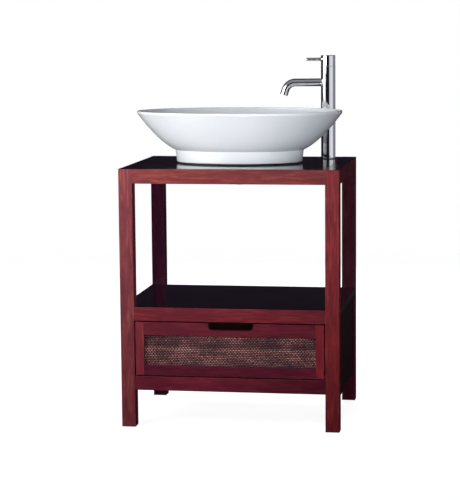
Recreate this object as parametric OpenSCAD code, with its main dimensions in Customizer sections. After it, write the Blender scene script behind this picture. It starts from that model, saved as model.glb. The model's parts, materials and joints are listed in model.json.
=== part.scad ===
// Oval vessel basin and tall single-lever mixer on an open wooden vanity with one drawer.
// Millimetres. +Z is up and -Y is the front. The origin is on the floor, under the vanity's middle.

/* [Vanity] */
// Overall width
vanity_w = 600; // [600:10:700]
// Overall depth
vanity_d = 460; // [450:10:520]
// Height of the counter above the floor
counter_h = 710; // [680:10:800]
// Side of the square legs
leg = 38; // [36:1:42]
// Radius on the long edges of the legs and rails
ease = 1.2; // [0.5:0.1:2.5]
// Thickness of the front and rear rails
rail_t = 22; // [20:1:26]
// How far the rails stand back from the legs' faces
rail_inset = 1.5; // [0.5:0.5:3]
// Height of the top rails
top_rail_h = 40; // [36:1:48]
// Thickness of the counter and shelf boards
board_t = 18; // [16:1:20]
// Open joint round the counter board
board_gap = 0.5; // [0.2:0.1:1]

/* [Shelf and drawer bay] */
// Height of the shelf's top face
shelf_h = 333; // [320:1:345]
// Height of the shelf's front rail
shelf_rail_h = 38; // [34:1:42]
// Height of the underside of the lower rails
lower_rail_z = 103; // [98:1:110]
// Height of the lower rails
lower_rail_h = 39; // [34:1:42]
// Thickness of the side panels
side_t = 18; // [15:1:20]
// How far the side panels stand back from the legs' outer faces
side_inset = 4; // [2:1:8]
// Height of the underside of the side panels
side_z = 88; // [80:1:98]

/* [Drawer] */
// Gap round the drawer front
drawer_gap = 3; // [2:0.5:4]
// Thickness of the drawer front
drawer_front_t = 18; // [16:1:20]
// Width of the drawer front's stiles
stile_w = 23; // [20:1:30]
// Height of the drawer front's top rail
drawer_rail_top_h = 36; // [32:1:40]
// Height of the drawer front's bottom rail
drawer_rail_bottom_h = 28; // [24:1:34]
// Width of the hand cut-out
grip_w = 125; // [90:1:160]
// How far the hand cut-out sits right of the drawer's middle
grip_x = 4; // [0:0.5:8]
// Depth of the hand cut-out
grip_h = 19.5; // [15:0.5:22]
// Corner radius of the hand cut-out
grip_r = 13; // [8:1:14]
// Length of the drawer sides
drawer_side_l = 370; // [300:10:370]
// Thickness of the drawer sides and back
drawer_side_t = 12; // [11:1:14]
// Height of the drawer sides
drawer_side_h = 118; // [100:1:120]
// Height of the wooden runners
runner_h = 14; // [12:1:18]
// Clearance between a runner and its groove
runner_gap = 0.5; // [0.3:0.1:1]

/* [Basin] */
// Centre of the basin, from the vanity's middle
basin_x = -4.5; // [-10:0.5:0]
// Half the basin's width at the rim
rim_a = 288.3; // [270:0.1:292]
// Depth of the basin as a share of its width
oval = 0.61; // [0.56:0.01:0.66]
// Height of the rim above the counter
rim_h = 146; // [130:1:160]
// Thickness of the rim
rim_t = 8.5; // [7:0.5:12]
// Height of the rim's upright lip
lip_h = 7; // [5:1:10]
// Height of the foot ring's top crease above the counter
foot_h = 37; // [34:1:42]
// Half the foot ring's width
foot_a = 180.5; // [170:0.5:190]
// Thickness of the gasket under the foot ring
gasket_t = 4; // [2:0.5:5]

/* [Drain] */
// Radius of the drain's thread
drain_r = 20.9; // [20:0.1:21]
// Radius of the drain's flange
flange_r = 31.5; // [30:0.5:35]
// Length of the drain below the flange
drain_l = 102; // [80:1:105]

/* [Mixer] */
// Mixer's distance to the right of the vanity's middle
mixer_x = 227.5; // [215:0.5:228]
// Mixer's distance behind the vanity's middle
mixer_y = 153.5; // [150:0.5:154]
// Radius of the mixer's body
mixer_r = 20.5; // [20:0.5:22]
// Height of the mixer above the counter
mixer_h = 294; // [290:1:320]
// Height of the cap that carries the lever
cap_h = 30.4; // [29:0.1:32]
// Radius of the spout
spout_r = 11; // [10:0.5:12]
// Height of the spout's axis above the counter
spout_h = 217.7; // [200:0.1:218]
// Length of the spout's straight part, from the mixer's axis
spout_l = 93; // [80:1:120]
// Radius of the spout's bend
bend_r = 30; // [26:1:40]
// Angle of the spout's bend
bend_angle = 72; // [60:1:80]
// Length of the spout's tip after the bend
tip_l = 15; // [12:0.5:24]
// Angle by which the spout and lever turn towards the front
spout_turn = 8; // [0:1:15]
// Reach of the lever from the mixer's axis
lever_reach = 63; // [50:1:80]
// Radius of the lever
lever_r = 4.25; // [4:0.25:4.75]

/* [Hidden] */
$fn = 96;
cut = 1;

// vanity
half_w = vanity_w / 2;
half_d = vanity_d / 2;
in_x = half_w - leg;
in_y = half_d - leg;
rail_out = half_d - rail_inset;
rail_in = rail_out - rail_t;
batten = 18;
batten_l = 2 * in_x - 94;
dust_gap = 1;
dust_d = 50;
block = 45;
block_h = 16;
shelf_under = shelf_h - board_t;
bay_x = half_w - side_inset - side_t;
back_t = 6;
back_y = in_y - back_t;
rear_rail_t = 20;
rear_rail_h = 35;

// drawer
front_z = lower_rail_z + lower_rail_h + drawer_gap;
front_top = shelf_h - shelf_rail_h - drawer_gap;
front_h = front_top - front_z;
front_x = in_x - drawer_gap;
front_in = rail_out - drawer_front_t;
pane_x = front_x - stile_w;
pane_z = front_z + drawer_rail_bottom_h;
pane_top = front_top - drawer_rail_top_h;
rebate = 6;
rebate_d = 8;
weave_t = 3;
side_out = in_x - 8;
side_in = side_out - drawer_side_t;
drawer_z = front_z + 5;
drawer_back_y = drawer_side_l - front_in;
base_t = 6;
base_z = drawer_z + 6;
base_groove = 5;
runner_groove = 6;
runner_z = 203;
runner_tip = side_out - runner_groove + runner_gap;
runner_y = -in_y + 2;
runner_l = back_y - runner_gap - runner_y;

// basin and drain
foot_taper = 3.5;
foot_round = 3;
foot_wall = 14;
rim_round = 3;
floor_h = 40;
floor_flat = 52;
floor_t = 10;
drain_hole_r = 22.5;
drain_gasket_t = 2;
flange_t = 3;
drain_wall = 3.4;
flange_z = counter_h + floor_h + drain_gasket_t;
drain_nut_h = 10;
washer_t = 4;
relief_z = counter_h - board_t - washer_t - drain_nut_h - 4;
guide_z = flange_z - 24;
guide_h = 8;
stem_r = 4;
plug_gap = 0.3;
seal_t = 1.1;
seal_z = flange_z + flange_t + plug_gap;

// mixer: heights above the counter
ring_t = 2;
shank_r = 16.5;
shank_bore = 12.5;
shank_z = counter_h - 55;
shank_nut_h = 12;
hose_top = 200;
inlet_r = 4.6;
inlet_l = 12;
inlet_y = 6.2;
port_r = 3;
spout_root = 12.5;
spout_wall = 2;
aerator_h = 7;
cavity_r = 17;
cavity_h = 230.5;
pivot_h = mixer_h - cap_h - 12;
dome_r = 23.3;
cap_r = mixer_r - 0.2;
cap_gap = 0.4;
cartridge_h = 19.5;
rotor_r = 8.5;
rotor_up = 5;
rotor_down = 14;
fork = 3.7;
stem = 3.4;
pin_r = 1.5;
fit = 0.05;
lever_h = mixer_h - 11;
lever_root = 7;
grub_r = 2.5;

// Colours
wood = [0.48, 0.19, 0.19];
dark_wood = [0.13, 0.07, 0.10];
plain_wood = [0.62, 0.45, 0.30];
cane = [0.60, 0.40, 0.32];
ceramic = [0.93, 0.94, 0.96];
chrome = [0.75, 0.76, 0.80];
brass = [0.78, 0.62, 0.32];
steel = [0.60, 0.60, 0.62];
rubber = [0.10, 0.10, 0.11];

// Rectangle with eased corners, from the origin
module eased(w, h, r = ease) {
    translate([r, 0]) square([w - 2 * r, h]);
    translate([0, r]) square([w, h - 2 * r]);
    for (x = [r, w - r], y = [r, h - r])
        translate([x, y]) circle(r, $fn = 24);
}

// Bars with eased long edges, running along X, Y or Z from their lowest corner
module bar_x(l, d, h) {
    rotate([90, 0, 90]) linear_extrude(l) eased(d, h);
}

module bar_y(l, w, h) {
    translate([0, l, 0]) rotate([90, 0, 0]) linear_extrude(l) eased(w, h);
}

module bar_z(l, w, d) {
    linear_extrude(l) eased(w, d);
}

// Points along a curve from a to c that leaves towards b and arrives from b
function bend(a, b, c, n) =
    [for (i = [0:n]) let (t = i / n) (1 - t) * (1 - t) * a + 2 * t * (1 - t) * b + t * t * c];

// Points along a circle's arc between two angles
function arc(x, y, r, from, to, n) =
    [for (i = [0:n]) let (a = from + (to - from) * i / n) [x + r * cos(a), y + r * sin(a)]];

// Both sides of the vanity's middle plane
module both_x() {
    children();
    mirror([1, 0, 0]) children();
}

module both_y() {
    children();
    mirror([0, 1, 0]) children();
}

// Box centred on X, with the given Y and Z ranges
module wide_box(half_x, y0, y1, z0, z1) {
    translate([-half_x, y0, z0]) cube([2 * half_x, y1 - y0, z1 - z0]);
}

module tube(r_out, r_in, h) {
    difference() {
        cylinder(r = r_out, h = h);
        translate([0, 0, -cut]) cylinder(r = r_in, h = h + 2 * cut);
    }
}

// ---- joinery of the frame ----

dowel_r = 4;
dowel_l = 30;
dowel_in = 8;
rail_mid = rail_out - rail_t / 2;
top_dowel_z = [counter_h - top_rail_h + dowel_in, counter_h - dowel_in];
front_dowel_z = concat(top_dowel_z,
    [shelf_h - shelf_rail_h + dowel_in, shelf_h - dowel_in],
    [lower_rail_z + dowel_in, lower_rail_z + lower_rail_h - dowel_in]);
side_dowel_z = [for (i = [0:2]) side_z + 40 + 70 * i];

module dowel_x(x, y, z, l, r) {
    translate([x - l / 2, y, z]) rotate([0, 90, 0]) cylinder(r = r, h = l);
}

module dowel_y(x, y, z, l, r) {
    translate([x, y + l / 2, z]) rotate([90, 0, 0]) cylinder(r = r, h = l);
}

module frame_dowel_set() {
    both_x() {
        for (z = front_dowel_z) dowel_x(in_x, -rail_mid, z, dowel_l, dowel_r);
        for (z = top_dowel_z) dowel_x(in_x, rail_mid, z, dowel_l, dowel_r);
        both_y() {
            for (z = top_dowel_z) dowel_y(half_w - leg / 2, in_y, z, dowel_l, dowel_r);
            for (z = side_dowel_z) dowel_y(bay_x + side_t / 2, in_y, z, dowel_l, dowel_r);
        }
    }
}

block_screw_r = 2.5;
block_screw_l = 36;
block_z = counter_h - board_t - block_h;
runner_screw_r = 2;
runner_screw_l = 40;
head_r = 3.8;
head_t = 2.4;

// Countersunk screw along +X, head at the origin
module screw(r, l) {
    rotate([0, 90, 0]) {
        cylinder(r1 = head_r, r2 = r, h = head_t);
        cylinder(r = r, h = l);
    }
}

module block_screws() {
    both_x() both_y()
        translate([in_x - block / 2, rail_in - block / 2, block_z + block_h / 2 + 2])
            rotate([0, 0, 45]) screw(block_screw_r, block_screw_l);
}

module runner_screws() {
    both_x()
        for (y = [-150, 0, 150])
            translate([runner_tip, y, runner_z + runner_h / 2]) screw(runner_screw_r, runner_screw_l);
}

// ---- vanity frame ----

module leg_post(sx, sy) {
    color(wood) difference() {
        translate([sx > 0 ? in_x : -half_w, sy > 0 ? in_y : -half_d, 0]) bar_z(counter_h, leg, leg);
        frame_dowel_set();
        block_screws();
    }
}

module leg_front_left() { leg_post(-1, -1); }

module leg_front_right() { leg_post(1, -1); }

module leg_rear_left() { leg_post(-1, 1); }

module leg_rear_right() { leg_post(1, 1); }

// Rail between two legs, its outer face at the front
module front_rail(z, h) {
    color(wood) difference() {
        translate([-in_x, -rail_out, z]) bar_x(2 * in_x, rail_t, h);
        frame_dowel_set();
        block_screws();
    }
}

module top_rail_front() { front_rail(counter_h - top_rail_h, top_rail_h); }

module shelf_rail_front() { front_rail(shelf_h - shelf_rail_h, shelf_rail_h); }

module lower_rail_front() { front_rail(lower_rail_z, lower_rail_h); }

module top_rail_rear() { mirror([0, 1, 0]) top_rail_front(); }

module top_rail_right() {
    color(wood) difference() {
        translate([in_x, -in_y, counter_h - top_rail_h]) bar_y(2 * in_y, leg, top_rail_h);
        frame_dowel_set();
    }
}

module top_rail_left() { mirror([1, 0, 0]) top_rail_right(); }

module top_panel() {
    color(dark_wood) difference() {
        wide_box(in_x - board_gap, -rail_in + board_gap, rail_in - board_gap,
            counter_h - board_t, counter_h);
        translate([basin_x, 0, counter_h - board_t - cut])
            cylinder(r = drain_hole_r, h = board_t + 2 * cut);
        translate([mixer_x, mixer_y, counter_h - board_t - cut])
            cylinder(r = shank_r + 1, h = board_t + 2 * cut);
    }
}

// Strips that carry the counter board and the shelf's front edge, and one under the drawer's front
module support_battens() {
    color(plain_wood) {
        both_y() translate([-batten_l / 2, rail_in - batten, counter_h - board_t - batten])
            cube([batten_l, batten, batten]);
        translate([-in_x, -rail_in, shelf_under - batten]) cube([2 * in_x, batten, batten]);
        translate([-in_x, -rail_in, drawer_z - dust_gap - batten]) cube([2 * in_x, dust_d, batten]);
    }
}

module corner_blocks() {
    color(plain_wood) both_x() both_y() difference() {
        translate([in_x, rail_in, block_z]) linear_extrude(block_h)
            polygon([[0, 0], [-block, 0], [0, -block]]);
        block_screws();
    }
}

module frame_screws() {
    color(steel) {
        block_screws();
        runner_screws();
    }
}

module frame_dowels() { color(plain_wood) frame_dowel_set(); }

// Full width between the legs, with a tongue that runs forward to the front rail
module shelf_panel() {
    color(dark_wood) translate([0, 0, shelf_under]) linear_extrude(board_t) {
        translate([-half_w, -in_y]) square([vanity_w, 2 * in_y]);
        translate([-in_x, -rail_in]) square([2 * in_x, rail_in - in_y + cut]);
    }
}

module shelf_rail_rear() {
    color(wood) wide_box(bay_x, back_y - rear_rail_t, back_y, shelf_under - rear_rail_h, shelf_under);
}

module lower_rail_rear() {
    color(wood) wide_box(bay_x, back_y - rear_rail_t, back_y, lower_rail_z, lower_rail_z + lower_rail_h);
}

module back_panel() {
    color(plain_wood) wide_box(bay_x, back_y, in_y, lower_rail_z, shelf_under);
}

module side_panel_right() {
    color(wood) difference() {
        translate([bay_x, -in_y, side_z]) cube([side_t, 2 * in_y, shelf_under - side_z]);
        frame_dowel_set();
        runner_screws();
    }
}

module side_panel_left() { mirror([1, 0, 0]) side_panel_right(); }

module runner_right() {
    color(plain_wood) difference() {
        translate([runner_tip, runner_y, runner_z])
            cube([bay_x - runner_tip, runner_l, runner_h]);
        runner_screws();
    }
}

module runner_left() { mirror([1, 0, 0]) runner_right(); }

// ---- drawer ----

drawer_dowel_r = 2.5;
drawer_dowel_l = 24;
drawer_dowel_y = -rail_out + 5;

module drawer_dowel_set() {
    both_x() {
        for (z = [front_z + drawer_rail_bottom_h / 2, pane_top + 8])
            dowel_x(pane_x, drawer_dowel_y, z, drawer_dowel_l, drawer_dowel_r);
        for (z = [drawer_z + 35, drawer_z + 90])
            dowel_y(side_out - drawer_side_t / 2, -front_in, z, drawer_dowel_l, drawer_dowel_r);
    }
}

// Space behind the pane's opening that takes the woven panel and its backer
module pane_rebate(inset = 0) {
    wide_box(pane_x + rebate - inset, -front_in - rebate_d, -front_in + cut,
        pane_z - rebate + inset, pane_top + rebate - inset);
}

module drawer_stile_right() {
    color(wood) difference() {
        translate([pane_x, -rail_out, front_z]) bar_z(front_h, stile_w, drawer_front_t);
        pane_rebate();
        drawer_dowel_set();
    }
}

module drawer_stile_left() { mirror([1, 0, 0]) drawer_stile_right(); }

// Hand cut-out: open at the top, with round lower corners
module grip_outline() {
    translate([grip_x, front_top - grip_h]) {
        translate([-grip_w / 2, grip_r]) square([grip_w, grip_h]);
        translate([-grip_w / 2 + grip_r, 0]) square([grip_w - 2 * grip_r, grip_r + cut]);
        for (side = [-1, 1])
            translate([side * (grip_w / 2 - grip_r), grip_r]) circle(grip_r);
    }
}

module drawer_rail_top() {
    color(wood) difference() {
        translate([-pane_x, -rail_out, pane_top]) bar_x(2 * pane_x, drawer_front_t, drawer_rail_top_h);
        translate([0, -front_in + cut, 0]) rotate([90, 0, 0])
            linear_extrude(drawer_front_t + 2 * cut) grip_outline();
        pane_rebate();
        drawer_dowel_set();
    }
}

module drawer_rail_bottom() {
    color(wood) difference() {
        translate([-pane_x, -rail_out, front_z]) bar_x(2 * pane_x, drawer_front_t, drawer_rail_bottom_h);
        pane_rebate();
        drawer_dowel_set();
    }
}

pane_play = 0.3;

module woven_panel() {
    color(cane) wide_box(pane_x + rebate - pane_play, -front_in - rebate_d,
        -front_in - rebate_d + weave_t, pane_z - rebate + pane_play, pane_top + rebate - pane_play);
}

module panel_backer() {
    color(dark_wood) wide_box(pane_x + rebate - pane_play, -front_in - rebate_d + weave_t,
        -front_in, pane_z - rebate + pane_play, pane_top + rebate - pane_play);
}

module drawer_side_right() {
    color(plain_wood) difference() {
        translate([side_in, -front_in, drawer_z]) cube([drawer_side_t, drawer_side_l, drawer_side_h]);
        translate([side_out - runner_groove, -in_y + 1, runner_z - runner_gap])
            cube([runner_groove + cut, drawer_side_l, runner_h + 2 * runner_gap]);
        translate([side_in - cut, -front_in - cut, base_z])
            cube([base_groove + cut, drawer_side_l + 2 * cut, base_t]);
        drawer_dowel_set();
    }
}

module drawer_side_left() { mirror([1, 0, 0]) drawer_side_right(); }

module drawer_back() {
    color(plain_wood) wide_box(side_in, drawer_back_y - drawer_side_t, drawer_back_y,
        base_z + base_t, drawer_z + drawer_side_h - 6);
}

module drawer_bottom() {
    color(plain_wood) wide_box(side_in + base_groove, -front_in, drawer_back_y, base_z, base_z + base_t);
}

module drawer_dowels() { color(plain_wood) drawer_dowel_set(); }

// ---- basin ----

// Half outlines, radius against height above the counter
function bowl_outline() = concat(
    [[0, gasket_t]],
    arc(foot_a - foot_taper - foot_round, gasket_t + foot_round, foot_round, -90, 0, 4),
    bend([foot_a, foot_h], [foot_a + 46, foot_h + 20], [rim_a, rim_h - lip_h], 20),
    arc(rim_a - rim_round, rim_h - rim_round, rim_round, 0, 90, 6),
    [[0, rim_h]]);

function hollow_outline() = concat(
    [[0, floor_h], [floor_flat, floor_h]],
    bend([60, floor_h + 0.6], [rim_a - 64, floor_h + 6], [rim_a - rim_t, rim_h - rim_round], 24),
    arc(rim_a - rim_t + rim_round, rim_h - rim_round, -rim_round, 0, -90, 4),
    [[rim_a - rim_t + rim_round, rim_h + cut], [0, rim_h + cut]]);

// Half depth over half width, for a surface at a given inset from one that has the basin's own ratio
function inset_ratio(a, inset) = (a * oval - inset) / (a - inset);

module oval_solid(ratio, points) {
    scale([1, ratio, 1]) rotate_extrude($fn = 180) polygon(points);
}

module basin() {
    color(ceramic) translate([basin_x, 0, counter_h]) difference() {
        oval_solid(oval, bowl_outline());
        oval_solid(inset_ratio(rim_a, rim_t), hollow_outline());
        translate([0, 0, -cut]) scale([1, inset_ratio(foot_a, foot_wall + foot_taper), 1])
            cylinder(r = foot_a - foot_taper - foot_wall, h = floor_h - floor_t + cut, $fn = 180);
        cylinder(r = drain_hole_r, h = rim_h);
    }
}

module basin_gasket() {
    outer = foot_a - foot_taper - 3;
    inner = foot_a - foot_taper - foot_wall + 2;
    color(rubber) translate([basin_x, 0, counter_h]) difference() {
        scale([1, inset_ratio(foot_a, foot_a - outer), 1]) cylinder(r = outer, h = gasket_t, $fn = 180);
        translate([0, 0, -cut]) scale([1, inset_ratio(foot_a, foot_a - inner), 1])
            cylinder(r = inner, h = gasket_t + 2 * cut, $fn = 180);
    }
}

// ---- drain ----

module at_drain(z) {
    translate([basin_x, 0, z]) children();
}

module drain_gasket() {
    color(rubber) at_drain(flange_z - drain_gasket_t) tube(flange_r - 2, drain_r, drain_gasket_t);
}

module drain_body() {
    color(chrome) at_drain(flange_z) difference() {
        union() {
            cylinder(r1 = flange_r, r2 = flange_r - 1.5, h = flange_t);
            translate([0, 0, -drain_l]) cylinder(r = drain_r, h = drain_l + cut);
        }
        translate([0, 0, -drain_l - cut])
            cylinder(r = drain_r - drain_wall, h = drain_l + flange_t + 2 * cut);
        translate([0, 0, relief_z - flange_z]) tube(drain_r + cut, drain_r - 1, 1.5);
    }
}

// Hub on three arms that guides the plug's stem
module drain_guide() {
    bore = drain_r - drain_wall;
    color(brass) at_drain(guide_z) difference() {
        union() {
            tube(bore, bore - 2, guide_h);
            cylinder(r = stem_r + 2.5, h = guide_h);
            for (a = [0, 120, 240])
                rotate([0, 0, a]) translate([stem_r, -1.25, 0]) cube([bore - stem_r - 1, 2.5, guide_h]);
        }
        translate([0, 0, -cut]) cylinder(r = stem_r + fit, h = guide_h + 2 * cut);
    }
}

module drain_washer() {
    color(rubber) at_drain(counter_h - board_t - washer_t) tube(29, drain_r, washer_t);
}

module drain_nut() {
    color(brass) at_drain(counter_h - board_t - washer_t - drain_nut_h) difference() {
        cylinder(r = 30, h = drain_nut_h, $fn = 6);
        translate([0, 0, -cut]) cylinder(r = drain_r, h = drain_nut_h + 2 * cut);
    }
}

// Domed cap with its stem
module drain_plug() {
    color(chrome) at_drain(seal_z + seal_t) {
        cylinder(r = flange_r - 1.5, h = 2);
        translate([0, 0, 2]) cylinder(r1 = flange_r - 1.5, r2 = flange_r - 5, h = 2);
        translate([0, 0, -46]) cylinder(r = stem_r, h = 46.5);
    }
}

module plug_seal() {
    color(rubber) at_drain(seal_z) tube(24, stem_r, seal_t);
}

// ---- mixer ----

// Mixer's own frame: its axis on Z, heights above the counter, the lever towards -X
module at_mixer(h = 0) {
    translate([mixer_x, mixer_y, counter_h + h]) rotate([0, 0, spout_turn]) children();
}

module dome() {
    translate([0, 0, pivot_h]) sphere(dome_r);
}

module mixer_ring() {
    color(rubber) at_mixer() tube(mixer_r - 1, shank_r, ring_t);
}

module mixer_body() {
    color(chrome) at_mixer() difference() {
        intersection() {
            translate([0, 0, ring_t]) cylinder(r = mixer_r, h = pivot_h + dome_r - ring_t);
            union() {
                dome();
                cylinder(r = mixer_r + cut, h = pivot_h);
            }
        }
        cylinder(r = shank_r, h = hose_top);
        translate([0, 0, cavity_h]) cylinder(r = cavity_r, h = mixer_h - cavity_h);
        translate([-spout_root, 0, spout_h]) rotate([0, -90, 0]) cylinder(r = spout_r, h = mixer_r);
        translate([-spout_root + 5, 0, spout_h]) rotate([0, -90, 0])
            cylinder(r = spout_r - spout_wall, h = 5 + cut);
        translate([-spout_root + 2, 0, spout_h]) cylinder(r = port_r, h = cavity_h - spout_h + cut);
        for (side = [-1, 1]) {
            translate([1, side * inlet_y, hose_top - cut]) cylinder(r = inlet_r, h = inlet_l + cut);
            translate([1, side * inlet_y, hose_top]) cylinder(r = port_r, h = cavity_h - hose_top + cut);
        }
    }
}

// Frame of the spout's tip: its start on the origin, its outlet towards -X
module at_tip() {
    translate([-spout_l, 0, spout_h - bend_r]) rotate([0, -bend_angle, 0]) translate([0, 0, bend_r])
        children();
}

// Solid round bar along the spout: straight, bent, straight
module spout_bar(r) {
    translate([-spout_root, 0, spout_h]) rotate([0, -90, 0]) cylinder(r = r, h = spout_l - spout_root);
    translate([-spout_l, 0, spout_h - bend_r]) rotate([90, 0, 0]) rotate([0, 0, 90])
        rotate_extrude(angle = bend_angle) translate([bend_r, 0]) circle(r);
    at_tip() rotate([0, -90, 0]) cylinder(r = r, h = tip_l);
}

module mixer_spout() {
    bore = spout_r - spout_wall;
    color(chrome) at_mixer() {
        difference() {
            spout_bar(spout_r);
            spout_bar(bore);
        }
        at_tip() translate([1.5, 0, 0]) rotate([0, -90, 0]) tube(bore + 0.4, bore - 0.6, 3);
    }
}

// Insert in the spout's tip, with a ring of small jets
module aerator() {
    jet_r = 1.3;
    color(steel) at_mixer() at_tip() translate([-tip_l + 1, 0, 0]) rotate([0, 90, 0]) difference() {
        cylinder(r = spout_r - spout_wall, h = aerator_h);
        translate([0, 0, -cut]) cylinder(r = jet_r, h = aerator_h + 2 * cut);
        for (a = [0:60:300])
            rotate([0, 0, a]) translate([4.6, 0, -cut]) cylinder(r = jet_r, h = aerator_h + 2 * cut);
    }
}

module cartridge() {
    color(plain_wood) at_mixer(cavity_h) difference() {
        cylinder(r = cavity_r, h = cartridge_h);
        translate([0, 0, pivot_h - rotor_down - 0.3 - cavity_h])
            cylinder(r = rotor_r + fit, h = cartridge_h);
    }
}

module cartridge_nut() {
    low = cavity_h + cartridge_h;
    color(brass) at_mixer() intersection() {
        translate([0, 0, low]) tube(cavity_r, 12.5, dome_r);
        dome();
    }
}

module mixer_shank() {
    color(brass) at_mixer(shank_z - counter_h) tube(shank_r, shank_bore, counter_h - shank_z + 12);
}

module shank_washer() {
    color(rubber) at_mixer(-board_t - 3) tube(26, shank_r, 3);
}

module shank_plate() {
    color(steel) at_mixer(-board_t - 5) tube(26, shank_r, 2);
}

module shank_nut() {
    color(brass) at_mixer(-board_t - 5 - shank_nut_h) difference() {
        cylinder(r = 26, h = shank_nut_h, $fn = 6);
        translate([0, 0, -cut]) cylinder(r = shank_r, h = shank_nut_h + 2 * cut);
    }
}

// Fork that turns in the cartridge and carries the lever's pivot
module rotor() {
    color(steel) at_mixer(pivot_h) difference() {
        translate([0, 0, -rotor_down]) cylinder(r = rotor_r, h = rotor_down + rotor_up);
        translate([-rotor_r - cut, -fork, -7]) cube([2 * rotor_r + 2 * cut, 2 * fork, rotor_up + 7 + cut]);
        dowel_y(0, 0, 0, 2 * rotor_r + 2 * cut, pin_r);
    }
}

module pivot_pin() {
    color(steel) at_mixer(pivot_h) dowel_y(0, 0, 0, 15.6, pin_r);
}

module handle_stem() {
    color(brass) at_mixer(pivot_h) difference() {
        union() {
            translate([-stem, -stem, -5]) cube([2 * stem, 2 * stem, 16]);
            cylinder(r = stem, h = mixer_h - pivot_h - 6);
        }
        dowel_y(0, 0, 0, 2 * stem + 2 * cut, pin_r + fit);
    }
}

module handle_cap() {
    chamfer = 1;
    hollow_r = dome_r + cap_gap;
    color(chrome) at_mixer() difference() {
        rotate_extrude() polygon(concat(
            [[0, mixer_h], [cap_r - chamfer, mixer_h], [cap_r, mixer_h - chamfer]],
            arc(0, pivot_h, hollow_r, acos(cap_r / hollow_r), 90, 16)));
        translate([0, 0, pivot_h]) cylinder(r = stem, h = mixer_h - pivot_h - 6);
        translate([-lever_root, 0, lever_h]) rotate([0, -90, 0]) cylinder(r = lever_r, h = cap_r);
        translate([stem - cut, 0, lever_h]) rotate([0, 90, 0]) cylinder(r = grub_r, h = cap_r);
    }
}

// Pin lever with a tapered collar where it meets the cap
module lever_rod() {
    tip = lever_reach - lever_r;
    color(chrome) at_mixer(lever_h) {
        translate([-lever_root, 0, 0]) rotate([0, -90, 0]) cylinder(r = lever_r, h = tip - lever_root);
        translate([-tip, 0, 0]) sphere(lever_r);
        difference() {
            translate([-cap_r + 2, 0, 0]) rotate([0, -90, 0]) cylinder(r1 = lever_r + 2, r2 = lever_r, h = 8);
            translate([0, 0, -cap_h / 2]) cylinder(r = cap_r, h = cap_h);
        }
    }
}

module grub_screw() {
    color(steel) at_mixer(lever_h) difference() {
        translate([stem, 0, 0]) rotate([0, 90, 0]) cylinder(r = grub_r, h = 12);
        translate([stem + 9, 0, 0]) rotate([0, 90, 0]) cylinder(r = 1.4, h = 4, $fn = 6);
    }
}

leg_front_left();
leg_front_right();
leg_rear_left();
leg_rear_right();
top_rail_front();
top_rail_rear();
top_rail_left();
top_rail_right();
top_panel();
support_battens();
corner_blocks();
frame_screws();
frame_dowels();
shelf_rail_front();
shelf_rail_rear();
shelf_panel();
side_panel_left();
side_panel_right();
back_panel();
lower_rail_front();
lower_rail_rear();
runner_left();
runner_right();
drawer_stile_left();
drawer_stile_right();
drawer_rail_top();
drawer_rail_bottom();
woven_panel();
panel_backer();
drawer_side_left();
drawer_side_right();
drawer_back();
drawer_bottom();
drawer_dowels();
basin();
basin_gasket();
drain_gasket();
drain_body();
drain_guide();
drain_washer();
drain_nut();
drain_plug();
plug_seal();
mixer_ring();
mixer_body();
mixer_spout();
aerator();
cartridge();
cartridge_nut();
mixer_shank();
shank_washer();
shank_plate();
shank_nut();
rotor();
pivot_pin();
handle_cap();
handle_stem();
lever_rod();
grub_screw();
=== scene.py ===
"""Looks for the vessel basin on its vanity: camera, materials, the woven drawer front and the studio."""
import json
import math
import random

import bpy
from mathutils import Matrix, Vector


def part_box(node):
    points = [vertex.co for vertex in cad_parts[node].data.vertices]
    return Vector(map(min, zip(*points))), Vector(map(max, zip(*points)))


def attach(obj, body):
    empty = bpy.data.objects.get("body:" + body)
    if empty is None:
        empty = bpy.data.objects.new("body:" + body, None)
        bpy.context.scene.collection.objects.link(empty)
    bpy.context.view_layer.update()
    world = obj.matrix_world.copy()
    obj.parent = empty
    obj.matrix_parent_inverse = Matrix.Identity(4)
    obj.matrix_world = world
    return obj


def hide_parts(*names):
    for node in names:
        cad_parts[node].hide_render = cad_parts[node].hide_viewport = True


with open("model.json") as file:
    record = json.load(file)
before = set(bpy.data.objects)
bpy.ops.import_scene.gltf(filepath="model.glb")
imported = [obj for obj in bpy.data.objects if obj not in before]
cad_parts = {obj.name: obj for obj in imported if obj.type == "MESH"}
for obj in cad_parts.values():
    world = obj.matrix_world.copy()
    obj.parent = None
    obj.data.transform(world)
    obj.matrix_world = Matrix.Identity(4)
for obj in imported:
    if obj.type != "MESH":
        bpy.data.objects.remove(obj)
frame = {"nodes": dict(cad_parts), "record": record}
scene = bpy.context.scene
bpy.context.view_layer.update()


# ---- camera ----

EYE = (0.81857, -5.02589, 1.12207)
LENS, SENSOR = 131.36, 36
YAW, PITCH, ROLL = 0.168, 0.12857, -0.00874  # radians: to the left, down, and about the view's axis

forward = Vector((-math.sin(YAW) * math.cos(PITCH), math.cos(YAW) * math.cos(PITCH), -math.sin(PITCH)))
level = Vector((math.cos(YAW), math.sin(YAW), 0))
upright = level.cross(forward)
right = math.cos(ROLL) * level + math.sin(ROLL) * upright
up = math.cos(ROLL) * upright - math.sin(ROLL) * level
turned = Matrix((right, up, -forward)).transposed()
camera = bpy.data.objects.new("camera", bpy.data.cameras.new("camera"))
camera.data.lens, camera.data.sensor_width = LENS, SENSOR
camera.data.clip_end = 60
camera.matrix_world = Matrix.Translation(EYE) @ turned.to_4x4()
scene.collection.objects.link(camera)
scene.camera = camera


# ---- node trees ----

SURFACE_INPUTS = {"colour": "Base Color", "rough": "Roughness", "normal": "Normal", "metal": "Metallic",
                  "specular": "Specular IOR Level", "coat": "Coat Weight", "coat_rough": "Coat Roughness"}


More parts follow.
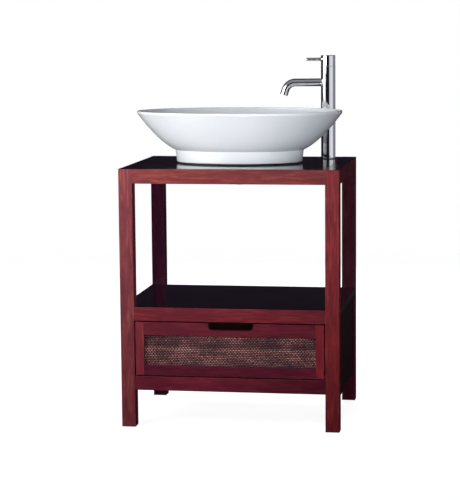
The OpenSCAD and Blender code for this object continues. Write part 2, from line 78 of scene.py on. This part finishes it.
class Tree:
    """A node tree whose nodes are made with their inputs given by name, as values or sockets."""

    def __init__(self, owner):
        owner.use_nodes = True
        self.owner, self.tree = owner, owner.node_tree
        self.tree.nodes.clear()

    def add(self, kind, inputs=None, **settings):
        node = self.tree.nodes.new("ShaderNode" + kind)
        for key, value in settings.items():
            setattr(node, key, value)
        for key, value in (inputs or {}).items():
            self.put(node.inputs[key], value)
        return node

    def put(self, socket, value):
        if isinstance(value, bpy.types.NodeSocket):
            self.tree.links.new(value, socket)
        else:
            socket.default_value = value

    def place(self, scale=(1, 1, 1), offset=(0, 0, 0)):
        """The place on the object, in metres, stretched by scale."""
        at = self.add("TexCoord").outputs["Object"]
        return self.add("Mapping", {"Vector": at, "Scale": scale, "Location": offset}).outputs[0]

    def noise(self, vector, detail=2.0, distortion=0.0):
        return self.add("TexNoise", {"Vector": vector, "Scale": 1.0, "Detail": detail,
                                     "Distortion": distortion}).outputs[0]

    def span(self, value, low, high, to_low=0.0, to_high=1.0, smooth=False):
        """value, with low..high carried over to to_low..to_high."""
        return self.add("MapRange", {0: value, 1: low, 2: high, 3: to_low, 4: to_high},
                        interpolation_type="SMOOTHSTEP" if smooth else "LINEAR").outputs[0]

    def ramp(self, value, *stops):
        node = self.add("ValToRGB", {0: value})
        while len(node.color_ramp.elements) < len(stops):
            node.color_ramp.elements.new(0.5)
        for element, (at, colour) in zip(node.color_ramp.elements, stops):
            element.position, element.color = at, (*colour, 1)
        return node.outputs[0]

    def mix(self, share, a, b):
        """Colour a, with a share of colour b over it."""
        node = self.add("Mix", data_type="RGBA")
        for socket, value in ((node.inputs[0], share), (node.inputs[6], a), (node.inputs[7], b)):
            self.put(socket, value)
        return node.outputs[2]

    def choose(self, share, a, b):
        """Shader a, with a share of shader b."""
        return self.add("MixShader", {0: share, 1: a, 2: b}).outputs[0]

    def math(self, operation, a, b):
        return self.add("Math", {0: a, 1: b}, operation=operation).outputs[0]

    def weigh(self, *parts):
        """The sum of (value, weight) pairs."""
        terms = [self.math("MULTIPLY", value, weight) for value, weight in parts]
        total = terms.pop()
        while terms:
            total = self.math("ADD", terms.pop(), total)
        return total

    def bump(self, height, distance, strength):
        return self.add("Bump", {"Height": height, "Distance": distance, "Strength": strength}).outputs[0]

    def surface(self, **inputs):
        shader = self.add("BsdfPrincipled", {SURFACE_INPUTS[key]: value for key, value in inputs.items()})
        self.add("OutputMaterial", {"Surface": shader.outputs[0]})
        return self.owner


def rgba(r, g, b):
    return (r, g, b, 1)


def grain_scale(axis, across, along):
    """The noise scale that is fine across a board and drawn out along it."""
    return [along if i == axis else across for i in range(3)]


# scales colours by a board's tint, which holds painted light and shade
def tinted(light_shade_tint, *parts):
    return tuple(part * share for part, share in zip(parts, light_shade_tint))


# ---- materials ----

TOP_SKIN, TOP_FADE = 0.0008, 0.0006  # how deep a top's near-black stain reaches, and how fast it fades in


def stained_wood(name, axis, shift, light_shade_tint, dark_above, shade_falloff):
    """Red-brown stain under a satin lacquer, with the grain along one axis.

    Faces above dark_above are near black. The last argument is (axis, start, end, share): painted shade that
    deepens from start to end, where the light falls off. Either may be None.
    """
    t = Tree(bpy.data.materials.new(name))
    figure = t.noise(t.place(grain_scale(axis, 130, 14), shift), 4, 0.9)
    fibre = t.noise(t.place(grain_scale(axis, 520, 14), shift), 3)
    pores = t.span(t.noise(t.place(grain_scale(axis, 1300, 60), shift), 1), 0.58, 0.70)
    cloud = t.noise(t.place((9, 9, 9), shift), 3)
    tone = t.weigh((figure, 0.68), (fibre, 0.32))
    # the tint paints light and shade into the stain's colours
    colour = t.ramp(tone, (0.31, tinted(light_shade_tint, 0.064, 0.0048, 0.0085)),
                    (0.50, tinted(light_shade_tint, 0.136, 0.0125, 0.0175)),
                    (0.70, tinted(light_shade_tint, 0.235, 0.0350, 0.0345)))
    colour = t.mix(t.span(cloud, 0.35, 0.70, 0.0, 0.55), colour, rgba(*tinted(light_shade_tint, 0.100, 0.0080, 0.0180)))
    colour = t.mix(t.math("MULTIPLY", pores, 0.45), colour, rgba(0.030, 0.004, 0.007))
    rough = t.span(tone, 0.3, 0.7, 0.36, 0.27)
    place = t.add("SeparateXYZ", {0: t.place()}).outputs
    if shade_falloff:
        # painted shade: darker along the axis as the light falls off
        along, start, end, share = shade_falloff
        colour = t.mix(t.span(place[along], start, end, 0, share), colour, rgba(0.014, 0.0012, 0.0040))
    if dark_above is not None:
        top = t.span(place[2], dark_above, dark_above + TOP_FADE)
        dark = t.mix(t.span(tone, 0.35, 0.65), rgba(0.0065, 0.0028, 0.0060), rgba(0.0150, 0.0070, 0.0135))
        colour = t.mix(top, colour, dark)
        rough = t.math("SUBTRACT", rough, t.math("MULTIPLY", top, 0.18))
    return t.surface(colour=colour, rough=rough, specular=0.40, coat=0.05, coat_rough=0.25,
                     normal=t.bump(t.math("SUBTRACT", fibre, pores), 0.00025, 0.35))


def dark_gloss_wood(name, axis, shift):
    """Near-black stain under a polished lacquer."""
    t = Tree(bpy.data.materials.new(name))
    figure = t.noise(t.place(grain_scale(axis, 60, 3), shift), 4, 0.8)
    fibre = t.noise(t.place(grain_scale(axis, 500, 12), shift), 3)
    colour = t.ramp(t.weigh((figure, 0.6), (fibre, 0.4)),
                    (0.35, (0.0050, 0.0020, 0.0050)), (0.65, (0.0180, 0.0075, 0.0150)))
    rough = t.span(t.noise(t.place((9, 9, 9), shift), 3), 0.3, 0.7, 0.10, 0.17)
    return t.surface(colour=colour, rough=rough, specular=0.5, coat=0.6, coat_rough=0.06,
                     normal=t.bump(fibre, 0.0001, 0.12))


def plain_wood(name, axis, shift, light_shade_tint):
    """Planed wood with no lacquer, inside the drawer and the frame."""
    t = Tree(bpy.data.materials.new(name))
    rings = t.noise(t.place(grain_scale(axis, 38, 2.2), shift), 4, 1.4)
    fibre = t.noise(t.place(grain_scale(axis, 700, 20), shift), 3)
    pores = t.span(t.noise(t.place(grain_scale(axis, 1400, 60), shift), 1), 0.60, 0.74)
    # a dark tint here is painted shade on the drawer's inner boards
    colour = t.ramp(t.weigh((rings, 0.7), (fibre, 0.3)),
                    (0.30, tinted(light_shade_tint, 0.300, 0.165, 0.085)),
                    (0.52, tinted(light_shade_tint, 0.440, 0.275, 0.150)),
                    (0.74, tinted(light_shade_tint, 0.560, 0.380, 0.225)))
    colour = t.mix(t.math("MULTIPLY", pores, 0.4), colour, rgba(*tinted(light_shade_tint, 0.16, 0.085, 0.045)))
    return t.surface(colour=colour, rough=t.span(fibre, 0.3, 0.7, 0.72, 0.58), specular=0.35,
                     normal=t.bump(t.math("SUBTRACT", fibre, pores), 0.0003, 0.4))


def woven_cane(name):
    """Split cane: each strand has its own tone, with fine flecks, and darker patches over the whole."""
    t = Tree(bpy.data.materials.new(name))
    own = t.add("Attribute", attribute_name="tone").outputs["Fac"]
    patch = t.noise(t.place((17, 17, 34)), 2, 0.3)
    fleck = t.noise(t.place((230, 230, 230)), 2)
    # low tones, on the columns, turn near black: painted shade between the rows
    colour = t.ramp(t.weigh((own, 0.58), (patch, 0.14), (fleck, 0.28)),
                    (0.40, (0.003, 0.001, 0.003)), (0.52, (0.016, 0.005, 0.008)),
                    (0.62, (0.230, 0.075, 0.072)), (0.72, (0.900, 0.420, 0.380)))
    colour = t.mix(t.span(patch, 0.36, 0.56, 0.28, 0), colour, rgba(0.012, 0.010, 0.020))
    return t.surface(colour=colour, rough=t.span(fleck, 0.3, 0.7, 0.62, 0.42), specular=0.45,
                     normal=t.bump(fleck, 0.0002, 0.4))


def glazed_ceramic(name):
    """White glaze with faint shade changes and a slight ripple."""
    t = Tree(bpy.data.materials.new(name))
    body = t.noise(t.place((6, 6, 6)), 3)
    peel = t.noise(t.place((95, 95, 95)), 2)
    colour = t.ramp(body, (0.3, (0.770, 0.800, 0.830)), (0.7, (0.820, 0.845, 0.865)))
    return t.surface(colour=colour, rough=t.span(peel, 0.3, 0.7, 0.20, 0.27), specular=0.5, coat=0.35,
                     coat_rough=0.12, normal=t.bump(peel, 0.00012, 0.10))


def chrome(name):
    """Polished chrome, a little duller where it is smeared or spotted."""
    t = Tree(bpy.data.materials.new(name))
    smear = t.noise(t.place((26, 26, 9)), 4, 0.5)
    spots = t.noise(t.place((210, 210, 210)), 2)
    colour = t.ramp(smear, (0.3, (0.80, 0.80, 0.84)), (0.7, (0.88, 0.88, 0.91)))
    rough = t.math("ADD", t.span(smear, 0.35, 0.7, 0.035, 0.085), t.span(spots, 0.55, 0.75, 0.0, 0.03))
    return t.surface(colour=colour, rough=rough, metal=1.0)


def turned_metal(name, dark, light, low, high):
    """Machined metal of roughness low..high, with fine rings round the upright axis."""
    t = Tree(bpy.data.materials.new(name))
    rings = t.noise(t.place((60, 60, 2600)), 2)
    stain = t.noise(t.place((70, 70, 70)), 3)
    colour = t.ramp(t.weigh((rings, 0.5), (stain, 0.5)), (0.35, dark), (0.65, light))
    return t.surface(colour=colour, rough=t.span(stain, 0.3, 0.7, low, high), metal=1.0,
                     normal=t.bump(rings, 0.0001, 0.3))


def moulded(name, dark, light, low, high, grain):
    """Rubber or plastic of roughness low..high: a fine matt grain with slight shade changes."""
    t = Tree(bpy.data.materials.new(name))
    stipple = t.noise(t.place((grain, grain, grain)), 2)
    shade = t.noise(t.place((30, 30, 30)), 3)
    return t.surface(colour=t.ramp(shade, (0.35, dark), (0.65, light)),
                     rough=t.span(stipple, 0.3, 0.7, low, high), specular=0.4,
                     normal=t.bump(stipple, 0.0001, 0.3))


SHARED = {
    "woven_cane": woven_cane("woven_cane"),
    "glazed_ceramic": glazed_ceramic("glazed_ceramic"),
    "chrome": chrome("chrome"),
    "brass": turned_metal("brass", (0.42, 0.27, 0.10), (0.66, 0.47, 0.20), 0.24, 0.38),
    "steel": turned_metal("steel", (0.34, 0.34, 0.36), (0.56, 0.56, 0.58), 0.22, 0.36),
    "cartridge_plastic": moulded("cartridge_plastic", (0.55, 0.55, 0.53), (0.68, 0.68, 0.65),
                                 0.40, 0.52, 900),
    "rubber": moulded("rubber", (0.008, 0.008, 0.009), (0.020, 0.020, 0.022), 0.62, 0.78, 1100),
}
WOODS = ("stained_wood", "dark_gloss_wood", "plain_wood")

# painted light and shade for each board: partly its own tone, but mostly brighter with a paler sheen at the
# front left, and darker to the right, low down and on the rear legs, as the light falls
# painted shade: the side panels and the drawer's inner boards are darkened, as if always in shadow
BAY_SHADE, INNER_SHADE = (0.16, 0.13, 0.20), (0.30, 0.20, 0.17)
LIGHT_SHADE_TINTS = {"top_rail_front": (1.78, 2.80, 1.75), "leg_front_left": (1.70, 2.85, 2.40),
         "leg_front_right": (1.36, 1.15, 1.03), "shelf_rail_front": (1.20, 0.94, 1.12),
         "drawer_stile_left": (1.52, 1.60, 1.62), "drawer_stile_right": (1.32, 0.84, 1.06),
         "drawer_rail_top": (0.98, 0.72, 1.10), "drawer_rail_bottom": (0.66, 0.40, 1.00),
         "lower_rail_front": (0.96, 0.66, 1.16), "leg_rear_left": (0.50, 0.60, 1.30),
         "leg_rear_right": (0.54, 0.42, 0.92), "side_panel_left": BAY_SHADE, "side_panel_right": BAY_SHADE,
         "drawer_side_left": INNER_SHADE, "drawer_side_right": INNER_SHADE, "drawer_back": INNER_SHADE,
         "drawer_bottom": INNER_SHADE}
# painted shade: boards that darken to the right or towards the bottom, where the light falls off
SHADE_FALLOFFS = {"lower_rail_front": (0, -0.05, 0.26, 0.60), "leg_front_right": (2, 0.40, 0.02, 0.42),
         "drawer_rail_top": (0, 0.0, 0.25, 0.28), "shelf_rail_front": (0, 0.05, 0.26, 0.28),
         "top_rail_front": (0, -0.20, 0.26, 0.34), "leg_front_left": (2, 0.70, 0.05, 0.28)}
GRAIN_STEP = (1.7, 0.9, 2.3)  # how far each board's grain is moved on from the last one's
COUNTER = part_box("top_panel")[1].z
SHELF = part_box("shelf_panel")[1].z
FLUSH = 0.0005  # a board whose top is this close to the counter's is part of it


def dark_start(node, high):
    """The height from which a stained board is near black, or None if none of it is."""
    if node == "shelf_rail_front":
        return SHELF - TOP_SKIN
    return COUNTER - TOP_SKIN if high.z > COUNTER - FLUSH else None


def board(node, kind, count):
    """The material of one board, with the grain along its longest side."""
    low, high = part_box(node)
    axis = max(range(3), key=lambda i: (high - low)[i])
    shift = tuple(step * count for step in GRAIN_STEP)
    # the tint is this board's painted light and shade
    name, light_shade_tint = f"{kind}.{node}", LIGHT_SHADE_TINTS.get(node, (1, 1, 1))
    if kind == "stained_wood":
        return stained_wood(name, axis, shift, light_shade_tint, dark_start(node, high), SHADE_FALLOFFS.get(node))
    if kind == "plain_wood":
        return plain_wood(name, axis, shift, light_shade_tint)
    return dark_gloss_wood(name, axis, shift)


for count, part in enumerate(frame["record"]["subparts"]):
    node, kind = part["node"], part["material_slot"]
    slots = frame["nodes"][node].data.materials
    slots.clear()
    slots.append(board(node, kind, count) if kind in WOODS else SHARED[kind])


# ---- woven drawer front ----

LIFT, HALF_T = 0.00068, 0.00062  # how far a strand waves from the middle, and half its thickness
STEPS, SIDES = 3, 4  # rings to a crossing, and corners to a ring
ROW_HALF_W, COLUMN_HALF_W = 0.33, 0.36  # half a strand's width, as a share of the pitch
# the columns' tones come out near black: painted shade in the gaps between the rows
ROW_TONE, COLUMN_SHADE_TONE = (0.68, 0.80), (0.02, 0.22)  # pale rows over dark columns
TONE_CHANGE = 0.05  # along one strand
SWAY = 0.00012  # how far a strand may wander sideways


def weave(name, low, high, columns, rows):
    """A plain weave that fills the box low..high: flat strands that pass over and under each other."""
    rng = random.Random(11)
    pitch_x, pitch_z = (high.x - low.x) / columns, (high.z - low.z) / rows
    middle = (low.y + high.y) / 2
    verts, faces, tones = [], [], []

    def strand(start, step, count, across, half_w, sign, tone):
        """One strand of count crossings. across is its width's direction, and sign its side at the first."""
        base, rings = len(verts), count * STEPS + 1
        sway, phase = rng.uniform(0.0, SWAY), rng.uniform(0, math.tau)
        for k in range(rings):
            at = k / STEPS - 0.5
            centre = start + step * (at + 0.5) + across * sway * math.sin(phase + at * 0.37)
            centre.y = middle - LIFT * sign * math.cos(math.pi * at)
            for s in range(SIDES):
                a = math.tau * (s + 0.5) / SIDES
                flat = math.copysign(abs(math.cos(a)) ** 0.75, math.cos(a))
                verts.append(centre + across * (half_w * flat) + Vector((0, HALF_T * math.sin(a), 0)))
                tones.append(tone + rng.uniform(-TONE_CHANGE, TONE_CHANGE))
        for k in range(rings - 1):
            for s in range(SIDES):
                a, b = base + k * SIDES + s, base + k * SIDES + (s + 1) % SIDES
                faces.append((a, b, b + SIDES, a + SIDES))
        faces.append(tuple(base + s for s in reversed(range(SIDES))))
        faces.append(tuple(base + (rings - 1) * SIDES + s for s in range(SIDES)))

    for j in range(rows):
        z = low.z + (j + 0.5) * pitch_z
        strand(Vector((low.x, 0, z)), Vector((pitch_x, 0, 0)), columns, Vector((0, 0, 1)),
               ROW_HALF_W * pitch_z, 1 if j % 2 else -1, rng.uniform(*ROW_TONE))
    for i in range(columns):
        x = low.x + (i + 0.5) * pitch_x
        strand(Vector((x, 0, low.z)), Vector((0, 0, pitch_z)), rows, Vector((1, 0, 0)),
               COLUMN_HALF_W * pitch_x, -1 if i % 2 else 1, rng.uniform(*COLUMN_SHADE_TONE))
    mesh = bpy.data.meshes.new(name)
    mesh.from_pydata(verts, [], faces)
    mesh.attributes.new("tone", "FLOAT", "POINT").data.foreach_set("value", tones)
    mesh.shade_smooth()
    mesh.materials.append(SHARED["woven_cane"])
    piece = bpy.data.objects.new(name, mesh)
    scene.collection.objects.link(piece)
    return piece


cane = weave("cane_weave", *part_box("woven_panel"), columns=122, rows=20)
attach(cane, "drawer")
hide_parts("woven_panel")


# ---- lights ----

def softbox(name, azimuth, elevation, distance, width, height, watts, target, colour=(1, 1, 1), spread=180):
    """A soft area light that faces target. Azimuth is to the right of the front. Angles are in degrees."""
    a, e = math.radians(azimuth), math.radians(elevation)
    away = Vector((math.sin(a) * math.cos(e), -math.cos(a) * math.cos(e), math.sin(e)))
    facing = away.to_track_quat("Z", "Y").to_matrix().to_4x4()
    lamp = bpy.data.lights.new(name, "AREA")
    lamp.shape, lamp.size, lamp.size_y = "RECTANGLE", width, height
    lamp.energy, lamp.color, lamp.spread = watts, colour, math.radians(spread)
    holder = bpy.data.objects.new(name, lamp)
    holder.matrix_world = Matrix.Translation(Vector(target) + away * distance) @ facing
    scene.collection.objects.link(holder)
    return holder


WARM, COOL, PALE_BLUE = (1.0, 0.985, 0.97), (0.90, 0.94, 1.0), (0.95, 0.97, 1.0)
VANITY = (0, 0, 0.5)
mixer = (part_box("mixer_body")[0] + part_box("mixer_body")[1]) / 2
MIXER_TOP = (mixer.x, mixer.y, 1)
# azimuth, elevation, distance, width, height, watts, target, then colour and spread if not plain
LAMPS = {
    "key": (-40, 12, 1.9, 1.6, 0.9, 8.2, (-0.15, -0.1, 0.95), WARM, 80),
    "low_key": (-30, -22, 1.75, 1.6, 0.7, 2.1, (0, -0.1, 0.90), WARM, 80),
    "fill": (14, -4, 3.4, 2.0, 0.8, 26, (0, 0, 0.9), COOL, 120),
    "rear": (180, 52, 2.6, 1.2, 1.2, 22, (0, 0, 0.6)),
    "back": (180, 8, 3.0, 2.0, 1.4, 34, VANITY),
    "left_wash": (-105, 8, 3.0, 1.6, 1.4, 14, VANITY),
    "right_wash": (105, 8, 3.0, 1.6, 1.4, 6, VANITY),
    "left_card": (-60, 2, 2.3, 1.8, 2.2, 18, MIXER_TOP),
    "right_card": (54, 2, 2.3, 2.9, 2.2, 11, MIXER_TOP, PALE_BLUE),
}
lamps = {name: softbox(name, *row) for name, row in LAMPS.items()}
for name in ("left_card", "right_card"):
    lamps[name].visible_diffuse = False  # they make the chrome's bright bands and light nothing else
for name in ("low_key", "fill", "rear", "back", "left_wash", "right_wash"):
    lamps[name].visible_glossy = False  # they would show as squares in the chrome and the glaze

# the rear legs are dark: the lights from the front left pass them by
behind = bpy.data.collections.new("behind")
for name in ("leg_rear_left", "leg_rear_right"):
    behind.objects.link(frame["nodes"][name])
for name in ("key", "low_key", "left_card"):
    lamps[name].light_linking.receiver_collection = behind
for link in behind.collection_objects:
    link.light_linking.link_state = "EXCLUDE"


# ---- world and floor ----

def studio_world():
    """White behind the object, with a faint even light.

    Gloss sees a dark room instead, pale overhead and at the right.
    """
    world = bpy.data.worlds.new("studio")
    dim, bright = 0.016, 0.27
    w = Tree(world)
    rays = w.add("LightPath").outputs
    way = w.add("SeparateXYZ", {0: w.add("TexCoord").outputs["Generated"]}).outputs
    ceiling = w.math("MULTIPLY", w.span(way[2], 0.16, 0.45, smooth=True),
                     w.span(way[1], 0.25, -0.25, smooth=True))
    side = w.span(way[0], 0.35, 0.75, smooth=True)
    glow = w.math("ADD", dim, w.math("MULTIPLY", w.math("MAXIMUM", ceiling, side), bright))
    shade = w.mix(w.span(glow, dim, 0.10), rgba(0.80, 0.62, 1.0), rgba(0.90, 0.90, 1.0))
    room = w.add("Background", {"Color": shade, "Strength": glow}).outputs[0]
    soft = w.add("Background", {"Color": rgba(0.80, 0.82, 1.0), "Strength": 0.09}).outputs[0]
    white = w.add("Background", {"Color": rgba(1, 1, 1), "Strength": 1.0}).outputs[0]
    unseen = w.choose(rays["Is Glossy Ray"], soft, room)
    w.add("OutputWorld", {"Surface": w.choose(rays["Is Camera Ray"], unseen, white)})
    return world


def studio_floor(reach):
    """A pale floor that glows a little and clears away with distance. Gloss sees it dark."""
    mesh = bpy.data.meshes.new("floor")
    corners = [(-reach, -reach, 0), (reach, -reach, 0), (reach, reach, 0), (-reach, reach, 0)]
    mesh.from_pydata(corners, [], [(0, 1, 2, 3)])
    f = Tree(bpy.data.materials.new("floor"))
    rays = f.add("LightPath").outputs
    away = f.add("VectorMath", {0: f.place()}, operation="LENGTH").outputs["Value"]
    glow = f.add("Emission", {"Color": rgba(1, 1, 1), "Strength": 0.88}).outputs[0]
    pale = f.add("BsdfDiffuse", {"Color": rgba(0.42, 0.42, 0.43)}).outputs[0]
    bounce = f.add("BsdfDiffuse", {"Color": rgba(0.14, 0.14, 0.15)}).outputs[0]
    dull = f.add("BsdfDiffuse", {"Color": rgba(0.015, 0.013, 0.016)}).outputs[0]
    clear = f.add("BsdfTransparent").outputs[0]
    near = f.add("AddShader", {0: glow, 1: pale}).outputs[0]
    shown = f.choose(f.span(away, 1.2, 4.0, smooth=True), near, clear)
    unseen = f.choose(rays["Is Glossy Ray"], bounce, dull)
    f.add("OutputMaterial", {"Surface": f.choose(rays["Is Camera Ray"], unseen, shown)})
    mesh.materials.append(f.owner)
    return bpy.data.objects.new("floor", mesh)


scene.world = studio_world()
scene.view_settings.view_transform = "Standard"
floor = studio_floor(reach=6.0)
scene.collection.objects.link(floor)
